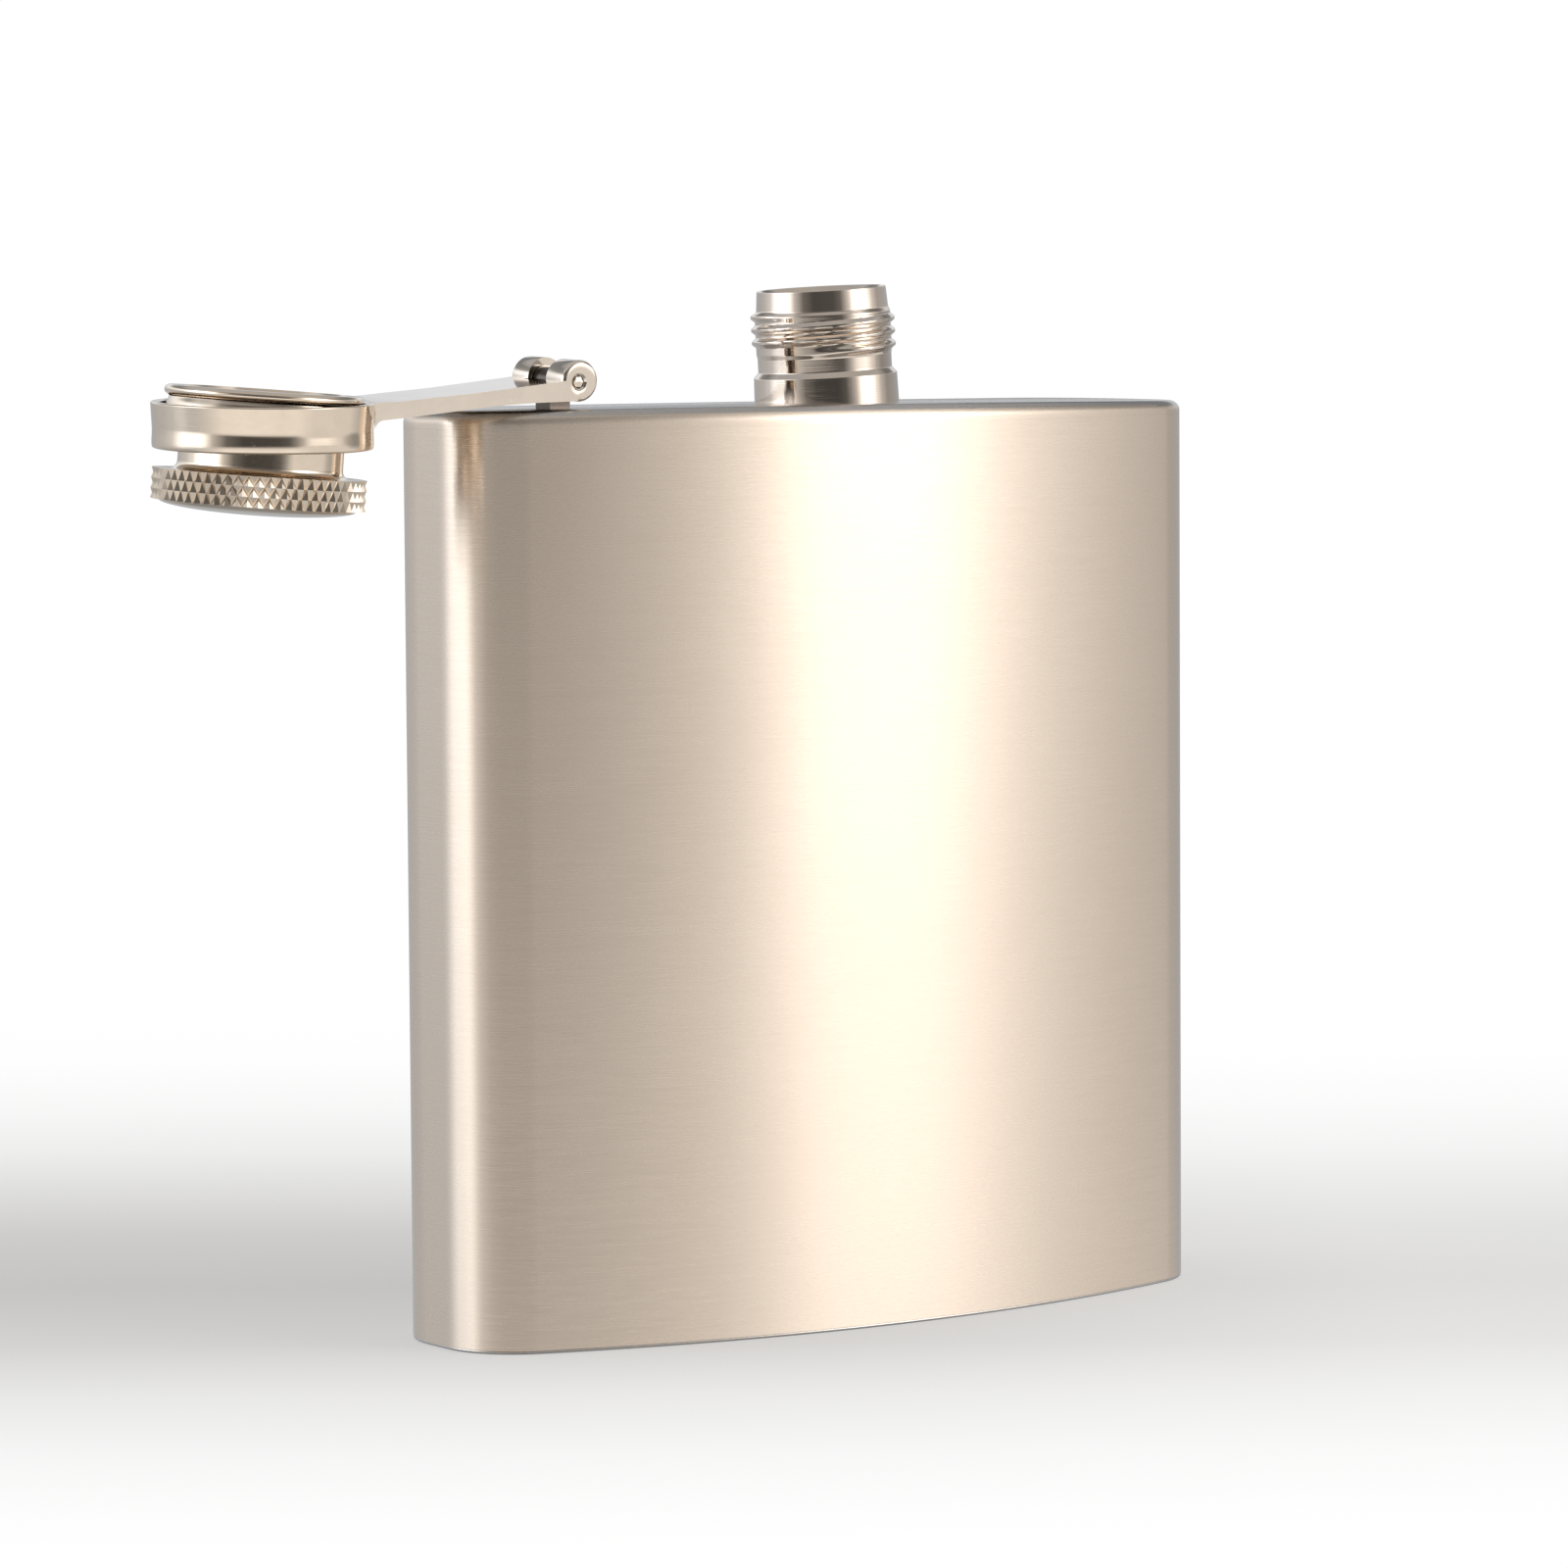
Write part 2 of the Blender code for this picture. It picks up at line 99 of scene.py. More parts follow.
def fillet(corners, closed=True):
    """A polyline whose corners (x, y, radius) are replaced by arcs."""
    step = 12 * DEG
    count = len(corners)
    points = []
    for i, (x, y, radius) in enumerate(corners):
        here = np.array((x, y))
        if radius == 0 or (not closed and i in (0, count - 1)):
            points.append((x, y))
            continue
        before = np.array(corners[i - 1][:2]) - here
        after = np.array(corners[(i + 1) % count][:2]) - here
        before /= np.linalg.norm(before)
        after /= np.linalg.norm(after)
        half = math.acos(float(np.clip(before @ after, -1, 1))) / 2
        centre = here + (before + after) / np.linalg.norm(before + after) * radius / math.sin(half)
        start = here + before * radius / math.tan(half) - centre
        end = here + after * radius / math.tan(half) - centre
        first = math.atan2(start[1], start[0])
        turn = math.atan2(end[1], end[0]) - first
        turn = (turn + math.pi) % (2 * math.pi) - math.pi
        pieces = max(2, math.ceil(abs(turn) / step))
        for k in range(pieces + 1):
            angle = first + turn * k / pieces
            points.append((centre[0] + radius * math.cos(angle), centre[1] + radius * math.sin(angle)))
    return points


def arc(centre, radius, start, end, count):
    angles = np.radians(np.linspace(start, end, count + 1))
    return [(centre[0] + radius * math.cos(a), centre[1] + radius * math.sin(a)) for a in angles]


def refine(points, longest, low, high):
    """Adds points so that no step that reaches between the heights low and high is over longest."""
    finer = [points[0]]
    for (x0, y0), (x1, y1) in zip(points, points[1:]):
        length = math.hypot(x1 - x0, y1 - y0)
        inside = max(y0, y1) > low and min(y0, y1) < high
        pieces = max(1, math.ceil(length / longest)) if inside else 1
        for k in range(1, pieces + 1):
            finer.append((x0 + (x1 - x0) * k / pieces, y0 + (y1 - y0) * k / pieces))
    return finer


def turned(name, profile, steps, closed=True, change=None):
    """A profile of (radius, height) turned about Z; change(angle, radius, height) reshapes it.

    The profile runs down the outer side.  The UV map runs round the piece and along the
    profile, in metres, so a texture can follow the turning lines.
    """
    ring = np.array(profile + profile[:1] if closed else profile)
    lengths = np.concatenate([[0], np.cumsum(np.linalg.norm(np.diff(ring, axis=0), axis=1))])
    rows = len(profile)
    angles = np.arange(steps) * 2 * math.pi / steps
    angle, index = np.meshgrid(angles, np.arange(rows), indexing="ij")
    radius, height = ring[:rows, 0][index], ring[:rows, 1][index]
    if change:
        radius, height = change(angle, radius, height)
    verts = np.stack([radius * np.cos(angle), radius * np.sin(angle), height], -1).reshape(-1, 3)
    radii = radius.reshape(-1)
    faces, uvs = [], []
    widest = float(np.max(ring[:, 0]))
    spans = rows if closed else rows - 1
    for i in range(steps):
        for k in range(spans):
            a, b = i * rows + k, i * rows + (k + 1) % rows
            c, d = ((i + 1) % steps) * rows + (k + 1) % rows, ((i + 1) % steps) * rows + k
            u0, u1 = angles[i] * widest, (angles[i] + 2 * math.pi / steps) * widest
            corners = [(u0, lengths[k]), (u0, lengths[k + 1]), (u1, lengths[k + 1]), (u1, lengths[k])]
            bend = radii[a] + radii[c] - radii[b] - radii[d]
            if abs(bend) < 0.02 * MM:
                faces.append((a, b, c, d))
                uvs += corners
            elif bend < 0:  # a deep groove runs from a to c
                faces += [(a, b, c), (a, c, d)]
                uvs += [corners[n] for n in (0, 1, 2, 0, 2, 3)]
            else:
                faces += [(a, b, d), (b, c, d)]
                uvs += [corners[n] for n in (0, 1, 3, 1, 2, 3)]
    obj = make_object(name, verts, faces, uvs)
    if not closed:
        tidy(obj)
    return obj


def tidy(obj):
    """Joins the points that meet on the axis and drops the faces that they leave empty."""
    shape = bmesh.new()
    shape.from_mesh(obj.data)
    bmesh.ops.remove_doubles(shape, verts=shape.verts, dist=0.0005 * MM)
    bmesh.ops.dissolve_degenerate(shape, edges=shape.edges, dist=0.0001 * MM)
    shape.to_mesh(obj.data)
    shape.free()
    obj.data.set_sharp_from_angle(angle=SHARP)


def rod(name, radius, low, high, edge=0.0, steps=96):
    """A solid cylinder along Z with rounded ends."""
    return turned(
        name,
        fillet([(0, high, 0), (radius, high, edge), (radius, low, edge), (0, low, 0)], closed=False),
        steps,
        closed=False,
    )


def extruded(name, outline, low, high):
    """A flat outline in XZ, given anticlockwise as seen from -Y, extruded along Y."""
    count = len(outline)
    verts = [(x, y, z) for y in (low, high) for x, z in outline]
    faces = [tuple(range(count)), tuple(range(2 * count - 1, count - 1, -1))]
    faces += [(i, i + count, (i + 1) % count + count, (i + 1) % count) for i in range(count)]
    return make_object(name, verts, faces, smooth=False)


def apply_modifiers(obj):
    graph = bpy.context.evaluated_depsgraph_get()
    mesh = bpy.data.meshes.new_from_object(obj.evaluated_get(graph))
    obj.modifiers.clear()
    obj.data = mesh


def carve(obj, other, operation="DIFFERENCE"):
    """Cuts or joins another object with this one, and removes the other."""
    modifier = obj.modifiers.new("carve", "BOOLEAN")
    modifier.operation, modifier.object, modifier.solver = operation, other, "EXACT"
    bpy.context.view_layer.update()
    apply_modifiers(obj)
    bpy.data.objects.remove(other, do_unlink=True)


def soften(obj, width, segments):
    """Rounds every edge that bends more than 38 degrees."""
    modifier = obj.modifiers.new("soften", "BEVEL")
    modifier.width, modifier.segments = width, segments
    modifier.limit_method, modifier.angle_limit = "ANGLE", 38 * DEG
    bpy.context.view_layer.update()
    apply_modifiers(obj)
    obj.data.shade_smooth()
    obj.data.set_sharp_from_angle(angle=SHARP)


def true_normals(obj):
    """Keeps flat spans flat: the shading of a corner follows the larger faces beside it."""
    modifier = obj.modifiers.new("normals", "WEIGHTED_NORMAL")
    modifier.mode, modifier.weight, modifier.keep_sharp = "FACE_AREA", 60, True
    bpy.context.view_layer.update()
    apply_modifiers(obj)


def place(obj, matrix):
    obj.data.transform(matrix)


# ---------------------------------------------------------------- places

pin_at = Vector(joints["arm_swing"]["pos_m"])
pin_axis = Vector(joints["arm_swing"]["axis"])
arm_place = Matrix.Translation(pin_at) @ Matrix.Rotation(math.atan2(pin_axis.z, pin_axis.y), 4, "X")

cap_axis = Vector(joints["cap_spin"]["axis"])
cap_lean = math.asin((arm_place.to_3x3().inverted() @ cap_axis).x)
cap_pivot = Vector(joints["cap_spin"]["pos_m"])
CAP_PIVOT, CAP_PROUD = 2.3 * MM, 1.15 * MM
cap_place = (
    Matrix.Translation(cap_pivot)
    @ arm_place.to_3x3().to_4x4()
    @ Matrix.Rotation(cap_lean, 4, "Y")
    @ Matrix.Translation((0, 0, CAP_PIVOT + CAP_PROUD))
)

COLLAR_REACH, COLLAR_TOP = 33.75 * MM, -1.6 * MM  # its place from the pin
COLLAR_R, COLLAR_EYE_R, COLLAR_HEIGHT = 11.05 * MM, 10.16 * MM, 4.55 * MM
LEDGE_R, LEDGE_DEPTH = 8.62 * MM, 2.5 * MM
collar_place = arm_place @ Matrix.Translation((-COLLAR_REACH, 0, COLLAR_TOP))
spout_place = Matrix.Translation((SPOUT_X, SPOUT_Y, HEIGHT)) @ Matrix.Rotation(-SPOUT_LEAN, 4, "Y")


# ---------------------------------------------------------------- materials


class Nodes:
    """Short hand for building a node tree."""

    def __init__(self, tree):
        self.tree = tree

    def add(self, kind, **values):
        node = self.tree.nodes.new(kind)
        for key, value in values.items():
            setattr(node, key, value)
        return node

    def link(self, source, target):
        self.tree.links.new(source, target)

    def scaled(self, source, scale):
        node = self.add("ShaderNodeMapping")
        node.inputs["Scale"].default_value = scale
        self.link(source, node.inputs["Vector"])
        return node.outputs["Vector"]

    def noise(self, vector, scale, detail, rough, distort=0.0):
        node = self.add("ShaderNodeTexNoise")
        node.inputs["Scale"].default_value = scale
        node.inputs["Detail"].default_value = detail
        node.inputs["Roughness"].default_value = rough
        node.inputs["Distortion"].default_value = distort
        self.link(vector, node.inputs["Vector"])
        return node.outputs["Fac"]

    def spread(self, source, low, high, from_low=0.0, from_high=1.0):
        node = self.add("ShaderNodeMapRange")
        node.inputs["From Min"].default_value = from_low
        node.inputs["From Max"].default_value = from_high
        node.inputs["To Min"].default_value = low
        node.inputs["To Max"].default_value = high
        self.link(source, node.inputs["Value"])
        return node.outputs["Result"]

    def math(self, operation, a, b):
        node = self.add("ShaderNodeMath", operation=operation)
        for socket, value in zip(node.inputs, (a, b)):
            if isinstance(value, (int, float)):
                socket.default_value = value
            else:
                self.link(value, socket)
        return node.outputs["Value"]

    def mix(self, share, a, b):
        """Goes from color a to color b by the share."""
        node = self.add("ShaderNodeMix", data_type="RGBA")
        self.link(share, node.inputs["Factor"])
        node.inputs[6].default_value = a
        node.inputs[7].default_value = b
        return node.outputs[2]

    def blend(self, share, a, b):
        """Goes from number a to number b by the share."""
        change = self.math("MULTIPLY", self.math("SUBTRACT", b, a), share)
        return self.math("ADD", a, change)

    def ramp(self, source, stops):
        """A grey ramp through (position, value) stops, in the source's own unit."""
        node = self.add("ShaderNodeValToRGB")
        low, high = stops[0][0], stops[-1][0]
        elements = node.color_ramp.elements
        while len(elements) < len(stops):
            elements.new(0.5)
        for element, (at, value) in zip(elements, stops):
            element.position = (at - low) / (high - low)
            element.color = (value, value, value, 1)
        self.link(self.spread(source, 0.0, 1.0, low, high), node.inputs["Fac"])
        return node.outputs["Color"]

    def bump(self, height, strength, distance, normal=None):
        node = self.add("ShaderNodeBump")
        node.inputs["Strength"].default_value = strength
        node.inputs["Distance"].default_value = distance
        self.link(height, node.inputs["Height"])
        if normal is not None:
            self.link(normal, node.inputs["Normal"])
        return node.outputs["Normal"]


def metal(name, anisotropic, turn=0.0):
    material = bpy.data.materials.new(name)
    material.use_nodes = True
    nodes = Nodes(material.node_tree)
    shader = material.node_tree.nodes["Principled BSDF"]
    shader.inputs["Metallic"].default_value = 1.0
    shader.inputs["Anisotropic"].default_value = anisotropic
    shader.inputs["Anisotropic Rotation"].default_value = turn
    return material, nodes, shader


def stretch_upright(nodes, shader):
    """Highlights on level scratches stretch up and down."""
    upright = nodes.add("ShaderNodeTangent", direction_type="RADIAL", axis="Z")
    nodes.link(upright.outputs["Tangent"], shader.inputs["Tangent"])


def brushed_steel(name, color, darker, along, rough=(0.24, 0.32)):
    """Satin steel with fine scratches; along is small in the direction that they run."""
    material, nodes, shader = metal(name, anisotropic=0.9, turn=0.25)
    stretch_upright(nodes, shader)
    where = nodes.add("ShaderNodeTexCoord").outputs["Object"]
    fine = nodes.noise(nodes.scaled(where, tuple(a * 9000 for a in along)), 1.0, 2.0, 0.6)
    coarse = nodes.noise(nodes.scaled(where, tuple(a * 2600 for a in along)), 1.0, 3.0, 0.65)
    cloud = nodes.noise(where, 38.0, 3.0, 0.55)
    lines = nodes.math("ADD", nodes.math("MULTIPLY", fine, 0.6), nodes.math("MULTIPLY", coarse, 0.4))
    tone = nodes.math("ADD", nodes.math("MULTIPLY", lines, 0.75), nodes.math("MULTIPLY", cloud, 0.25))
    lightness = nodes.spread(tone, 0.0, 1.0, 0.3, 0.7)
    nodes.link(nodes.mix(lightness, darker, color), shader.inputs["Base Color"])
    nodes.link(nodes.spread(tone, rough[1], rough[0], 0.3, 0.7), shader.inputs["Roughness"])
    normal = nodes.bump(lines, 0.2, 0.012 * MM)
    normal = nodes.bump(cloud, 0.12, 0.4 * MM, normal)
    nodes.link(normal, shader.inputs["Normal"])
    return material


def polished_steel(name, color, rough=(0.05, 0.12), turning=0.25):
    """Bright turned metal: fine rings from the lathe, faint smears and specks of wear."""
    material, nodes, shader = metal(name, anisotropic=0.3)
    coords = nodes.add("ShaderNodeTexCoord")
    rings = nodes.noise(nodes.scaled(coords.outputs["UV"], (60, 9000, 1)), 1.0, 2.0, 0.6)
    smear = nodes.noise(coords.outputs["Object"], 240.0, 4.0, 0.6, 0.4)
    specks = nodes.noise(coords.outputs["Object"], 2600.0, 2.0, 0.5)
    specks = nodes.spread(specks, 0.0, 1.0, 0.66, 0.78)
    dull = tuple(c * 0.86 for c in color[:3]) + (1.0,)
    dullness = nodes.spread(smear, 0.0, 0.7, 0.4, 0.75)
    nodes.link(nodes.mix(dullness, color, dull), shader.inputs["Base Color"])
    rough_out = nodes.math(
        "ADD", nodes.spread(smear, rough[0], rough[1], 0.3, 0.75), nodes.math("MULTIPLY", specks, 0.12)
    )
    nodes.link(rough_out, shader.inputs["Roughness"])
    normal = nodes.bump(rings, turning, 0.006 * MM)
    normal = nodes.bump(smear, 0.03, 0.1 * MM, normal)
    nodes.link(normal, shader.inputs["Normal"])
    return material


def silicone(name):
    material = bpy.data.materials.new(name)
    material.use_nodes = True
    nodes = Nodes(material.node_tree)
    shader = material.node_tree.nodes["Principled BSDF"]
    shader.inputs["Subsurface Weight"].default_value = 0.25
    shader.inputs["Subsurface Radius"].default_value = (0.6, 0.55, 0.5)
    shader.inputs["Subsurface Scale"].default_value = 1.0 * MM
    where = nodes.add("ShaderNodeTexCoord").outputs["Object"]
    grain = nodes.noise(where, 3000.0, 3.0, 0.6)
    haze = nodes.noise(where, 300.0, 2.0, 0.5)
    nodes.link(
        nodes.mix(haze, (0.80, 0.79, 0.76, 1), (0.88, 0.88, 0.86, 1)), shader.inputs["Base Color"]
    )
    nodes.link(nodes.spread(grain, 0.38, 0.55), shader.inputs["Roughness"])
    nodes.link(nodes.bump(grain, 0.2, 0.02 * MM), shader.inputs["Normal"])
    return material


ALONG_X = (0.035, 0.035, 1.0)  # scratches that run level, round the body
wall_steel = brushed_steel("brushed_wall", (0.82, 0.708, 0.60, 1), (0.77, 0.655, 0.55, 1), ALONG_X)
plate_steel = brushed_steel(
    "brushed_plate", (0.63, 0.60, 0.57, 1), (0.53, 0.50, 0.47, 1), (0.05, 1.0, 1.0), (0.2, 0.3)
)
chrome = polished_steel("polished_turned", (0.85, 0.73, 0.60, 1))
chrome_arm = polished_steel("polished_strap", (0.85, 0.755, 0.655, 1), (0.05, 0.1), 0.0)
chrome_spout = polished_steel("polished_spout", (0.78, 0.68, 0.59, 1), (0.03, 0.08), 0.35)
# Near-black base colour: painted shade on the hinge post and its middle knuckle, which sit under the
# strap
post_steel_painted_shade = polished_steel("post_painted_shade", (0.14, 0.115, 0.10, 1), (0.12, 0.25), 0.0)
gasket_white = silicone("gasket_silicone")


def finish_piece(obj, body, nodes, material, level_material=None):
    """Ties a piece to its body and dresses it; level faces may have their own material."""
    true_normals(obj)
    obj.data.materials.clear()
    obj.data.materials.append(material)
    if level_material:
        obj.data.materials.append(level_material)
    for face in obj.data.polygons:
        face.material_index = 1 if level_material and abs(face.normal.z) > LEVEL else 0
    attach(obj, body)
    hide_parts(*nodes)


# ---------------------------------------------------------------- body


def body_outline(inset):
    """The kidney section, moved inwards by an even distance."""
    fine = 3
    centre_y = FRONT_RADIUS - DEPTH / 2
    back_radius = FRONT_RADIUS - DEPTH
    front_x, back_x = WIDTH / 2 - FRONT_CORNER, WIDTH / 2 - BACK_CORNER
    front_lean = math.asin(front_x / (FRONT_RADIUS - FRONT_CORNER)) / DEG
    back_lean = math.asin(back_x / (back_radius + BACK_CORNER)) / DEG
    front_y = centre_y - math.sqrt((FRONT_RADIUS - FRONT_CORNER) ** 2 - front_x**2)
    back_y = centre_y - math.sqrt((back_radius + BACK_CORNER) ** 2 - back_x**2)
    centre = (0.0, centre_y)
    front_r, back_r = FRONT_CORNER - inset, BACK_CORNER - inset
    start, end = -90 - front_lean, -90 + front_lean
    points = arc(centre, FRONT_RADIUS - inset, start, end, 20 * fine)
    points += arc((front_x, front_y), front_r, end, 0, 7 * fine)[1:]
    points += arc((back_x, back_y), back_r, 0, 90 + back_lean, 8 * fine)
    points += arc(centre, back_radius + inset, -90 + back_lean, -90 - back_lean, 18 * fine)[1:-1]
    points += arc((-back_x, back_y), back_r, 90 - back_lean, 180, 8 * fine)
    points += arc((-front_x, front_y), front_r, 180, 270 - front_lean, 7 * fine)[:-1]
    return points


def loft(name, levels, closes=False):
    """Stacks outlines given as (inset, height): a solid, or a wall that closes on its first level."""
    rows = [body_outline(inset) for inset, _ in levels]
    count = len(rows[0])
    verts = []
    for row, (_, height) in zip(rows, levels):
        verts += [(x, y, height + crown(x, height)) for x, y in row]
    faces = []
    spans = len(levels) if closes else len(levels) - 1
    for k in range(spans):
        a, b = k * count, ((k + 1) % len(levels)) * count
        for i in range(count):
            j = (i + 1) % count
            faces.append((a + i, a + j, b + j, b + i))
    if not closes:
        faces += closing_faces(0, flip=True) + closing_faces((len(levels) - 1) * count)
    obj = make_object(name, verts, faces, smooth=False)
    shape = bmesh.new()
    shape.from_mesh(obj.data)
    bmesh.ops.recalc_face_normals(shape, faces=shape.faces)
    shape.to_mesh(obj.data)
    shape.free()
    obj.data.shade_smooth()
    obj.data.set_sharp_from_angle(angle=SHARP)
    return obj


def crown(x, height):
    """How much a point is lifted: the top is slightly domed along the width and lower at +X."""
    share = min(1.0, max(0.0, (height - TOP_SEAM_Z) / (HEIGHT - TOP_SEAM_Z)))
    across = x / (WIDTH / 2)
    return share * (CROWN * (1 - across**2) - TOP_SLOPE * across)


def closing_faces(first, flip=False):
    """Triangles that fill the section, between its front points and its back points."""
    outline = np.array(body_outline(0.0))
    count = len(outline)
    right = int(np.argmax(outline[:, 0] - 1e-3 * np.abs(outline[:, 1])))
    left = int(np.argmin(outline[:, 0] + 1e-3 * np.abs(outline[:, 1])))
    faces = []
    a, b = left, left
    # walk both chains from the left end to the right end, always advancing the one behind
    while a != right or b != right:
        next_a, next_b = (a + 1) % count, (b - 1) % count
        if b == right or (a != right and outline[next_a, 0] <= outline[next_b, 0]):
            tri = (a, next_a, b)
            a = next_a
        else:
            tri = (a, next_b, b)
            b = next_b
        if len(set(tri)) == 3:
            faces.append(tuple(first + corner for corner in (tri[::-1] if flip else tri)))
    return faces


def build_wall():
    levels = [
        (0.06 * MM, BASE_SEAM_Z + SEAM),
        (0.02 * MM, BASE_SEAM_Z + SEAM + 0.02 * MM),
        (0.0, BASE_SEAM_Z + SEAM + 0.07 * MM),
        (0.0, 10 * MM),
        (0.0, 30 * MM),
        (0.0, 60 * MM),
        (0.0, 85 * MM),
        (0.0, TOP_SEAM_Z - SEAM),
        (WALL, TOP_SEAM_Z - SEAM),
        (WALL, BASE_SEAM_Z + SEAM),
    ]
    wall = loft("flask_wall", levels, closes=True)
    finish_piece(wall, "flask", ["body_shell"], wall_steel)


def build_top():
    levels = [(1.1 * MM, TOP_SEAM_Z), (0.0, TOP_SEAM_Z)]
    for angle in range(0, 91, 9):
        inset = TOP_ROUND * (1 - math.cos(angle * DEG))
        height = HEIGHT - TOP_ROUND + TOP_ROUND * math.sin(angle * DEG)
        levels.append((inset, height))
    levels += [(1.6 * MM, HEIGHT), (3.0 * MM, HEIGHT)]
    top = loft("flask_top", levels)
    hole = rod("spout_hole", SPOUT_BORE, -6 * MM, 6 * MM)
    place(hole, spout_place)
    carve(top, hole)
    top.data.set_sharp_from_angle(angle=SHARP)
    finish_piece(top, "flask", ["top_plate"], wall_steel, plate_steel)


def build_base():
    levels = []
    for angle in range(90, -1, -15):
        inset = BASE_ROUND * (1 - math.cos(angle * DEG)) + 0.05 * MM
        levels.append((inset, BASE_ROUND - BASE_ROUND * math.sin(angle * DEG)))
    levels += [(0.08 * MM, BASE_SEAM_Z), (1.1 * MM, BASE_SEAM_Z)]
    base = loft("flask_base", levels)
    finish_piece(base, "flask", ["bottom_plate"], plate_steel)


# ---------------------------------------------------------------- spout


def ease(value, width):
    """Rises smoothly from 0 to 1 over the width."""
    share = np.clip(value / width, 0, 1)
    return share * share * (3 - 2 * share)


def thread_height(angle, below, turns):
    """How far a right-handed thread stands up or in, 0 to 1, at an angle and a depth below its top."""
    fade = 0.16  # turns over which it starts and runs out
    along = ((THREAD_START - angle) / (2 * math.pi)) % 1.0
    whole = np.round(below / THREAD_PITCH - along)
    at = whole + along
    phase = below / THREAD_PITCH - at
    ridge = np.clip((np.cos(2 * math.pi * phase) + 1) / 2 * 1.25 - 0.12, 0, 1)
    return ridge * ease(at + fade, fade) * ease(turns + fade - at, fade)


def build_spout():
    rim, base = SPOUT_HEIGHT, -0.2 * MM
    outer = [
        (SPOUT_BORE, rim - 0.8 * MM, 0.3 * MM),
        (6.42 * MM, rim - 0.07 * MM, 0.1 * MM),
        (6.52 * MM, rim, 0.05 * MM),
        (6.7 * MM, rim, 0.08 * MM),
        (6.86 * MM, rim - 2.15 * MM, 0.3 * MM),
        (THREAD_ROOT_R, rim - 2.55 * MM, 0.2 * MM),
        (THREAD_ROOT_R, 5.6 * MM, 0.3 * MM),
        (6.95 * MM, 5.2 * MM, 0.3 * MM),
        (6.95 * MM, 3.75 * MM, 0.15 * MM),
        (7.44 * MM, 3.2 * MM, 0.12 * MM),
        (7.52 * MM, base, 0.0),
        (SPOUT_BORE, base, 0.0),
    ]
    profile = refine(fillet(outer), 0.07 * MM, 4.9 * MM, rim - 1.9 * MM)

    def threaded(angle, radius, height):
        outside = (radius > 6.6 * MM) & (height > 4.0 * MM)
        lift = thread_height(angle, rim - THREAD_TOP - height, THREAD_TURNS) * outside
        crest = THREAD_ROOT_R + THREAD_DEPTH
        return radius + lift * np.maximum(crest - radius, 0), height

    spout = turned("spout", profile, 192, change=threaded)
    place(spout, spout_place)
    floor = extruded(
        "below_spout",
        [(-20 * MM, 80 * MM), (20 * MM, 80 * MM)]
        + [(x * MM, HEIGHT + crown(x * MM, HEIGHT) - 0.02 * MM) for x in range(20, -21, -2)],
        -20 * MM,
        20 * MM,
    )
    carve(spout, floor)
    spout.data.set_sharp_from_angle(angle=SHARP)
    finish_piece(spout, "flask", ["neck"], chrome_spout)


# ---------------------------------------------------------------- hinge

PIN_R, PIN_HOLE_R = 0.65 * MM, 0.68 * MM
STRAP_WIDTH, MIDDLE_WIDTH, PIN_LENGTH = 9.9 * MM, 3.1 * MM, 9.76 * MM
KNUCKLE_R, KNUCKLE_AT = 2.1 * MM, (0.22 * MM, 0.12 * MM)  # a little off the pin, towards the spout
ALONG_PIN = Matrix.Rotation(math.pi / 2, 4, "X")


def build_post():
    half_x, half_y = 1.2 * MM, 1.35 * MM
    foot = HEIGHT + crown(pin_at.x, HEIGHT) - 0.02 * MM - pin_at.z
    stem = [(-half_x, foot), (half_x, foot), (half_x, 0), (-half_x, 0)]
    post = extruded("hinge_post_body", stem, -half_y, half_y)
    place(post, Matrix.Translation(pin_at))
    knuckle = rod("middle_knuckle", 1.4 * MM, -MIDDLE_WIDTH / 2, MIDDLE_WIDTH / 2, 0.15 * MM, 64)
    place(knuckle, arm_place @ ALONG_PIN)
    carve(post, knuckle, "UNION")
    hole = rod("post_hole", PIN_HOLE_R, -4 * MM, 4 * MM, 0, 48)
    place(hole, arm_place @ ALONG_PIN)
    carve(post, hole)
    soften(post, 0.12 * MM, 2)
    finish_piece(post, "flask", ["hinge_post"], post_steel_painted_shade)


def build_pin():
    """The pin, with a peened six-sided head at each end."""
    half = PIN_LENGTH / 2
    profile = [(0, half), (0.45 * MM, half - 0.02 * MM), (0.58 * MM, half - 0.05 * MM)]
    profile += [(PIN_R, half - 0.15 * MM), (PIN_R, half - 0.7 * MM)]
    profile += [(r, -z) for r, z in reversed(profile)]

    def peened(angle, radius, height):
        side = (angle % (math.pi / 3)) - math.pi / 6
        flat = np.cos(math.pi / 6) / np.cos(side)
        near_end = ease(np.abs(height) - (half - 0.6 * MM), 0.3 * MM)
        return radius * (1 - near_end * (1 - flat)), height

    pin = turned("hinge_pin_peened", profile, 72, closed=False, change=peened)
    place(pin, arm_place @ ALONG_PIN)
    finish_piece(pin, "arm", ["hinge_pin"], chrome_arm)


def strap_outline():
    """Side view of the strap, from its end inside the knuckle over the top and back below."""
    under_fillet = arc((-22.8 * MM, -4.47 * MM), 1.1 * MM, 180, 92, 8)
    top = [(-0.1, 0.3), (-12.0, -0.87), (-17.0, -1.23), (-19.5, -1.44), (-21.5, -1.57)]
    top += [(-23.0, -1.61), (-26.0, -1.61)]
    under = [(-18.5, -3.02), (-13.5, -2.56), (-8.7, -2.15), (-5.0, -1.98), (-2.5, -1.94), (-0.1, -1.9)]
    end = [(-26.0 * MM, under_fillet[0][1])]
    top = [(x * MM, z * MM) for x, z in top]
    under = [(x * MM, z * MM) for x, z in under]
    return top + end + under_fillet + under


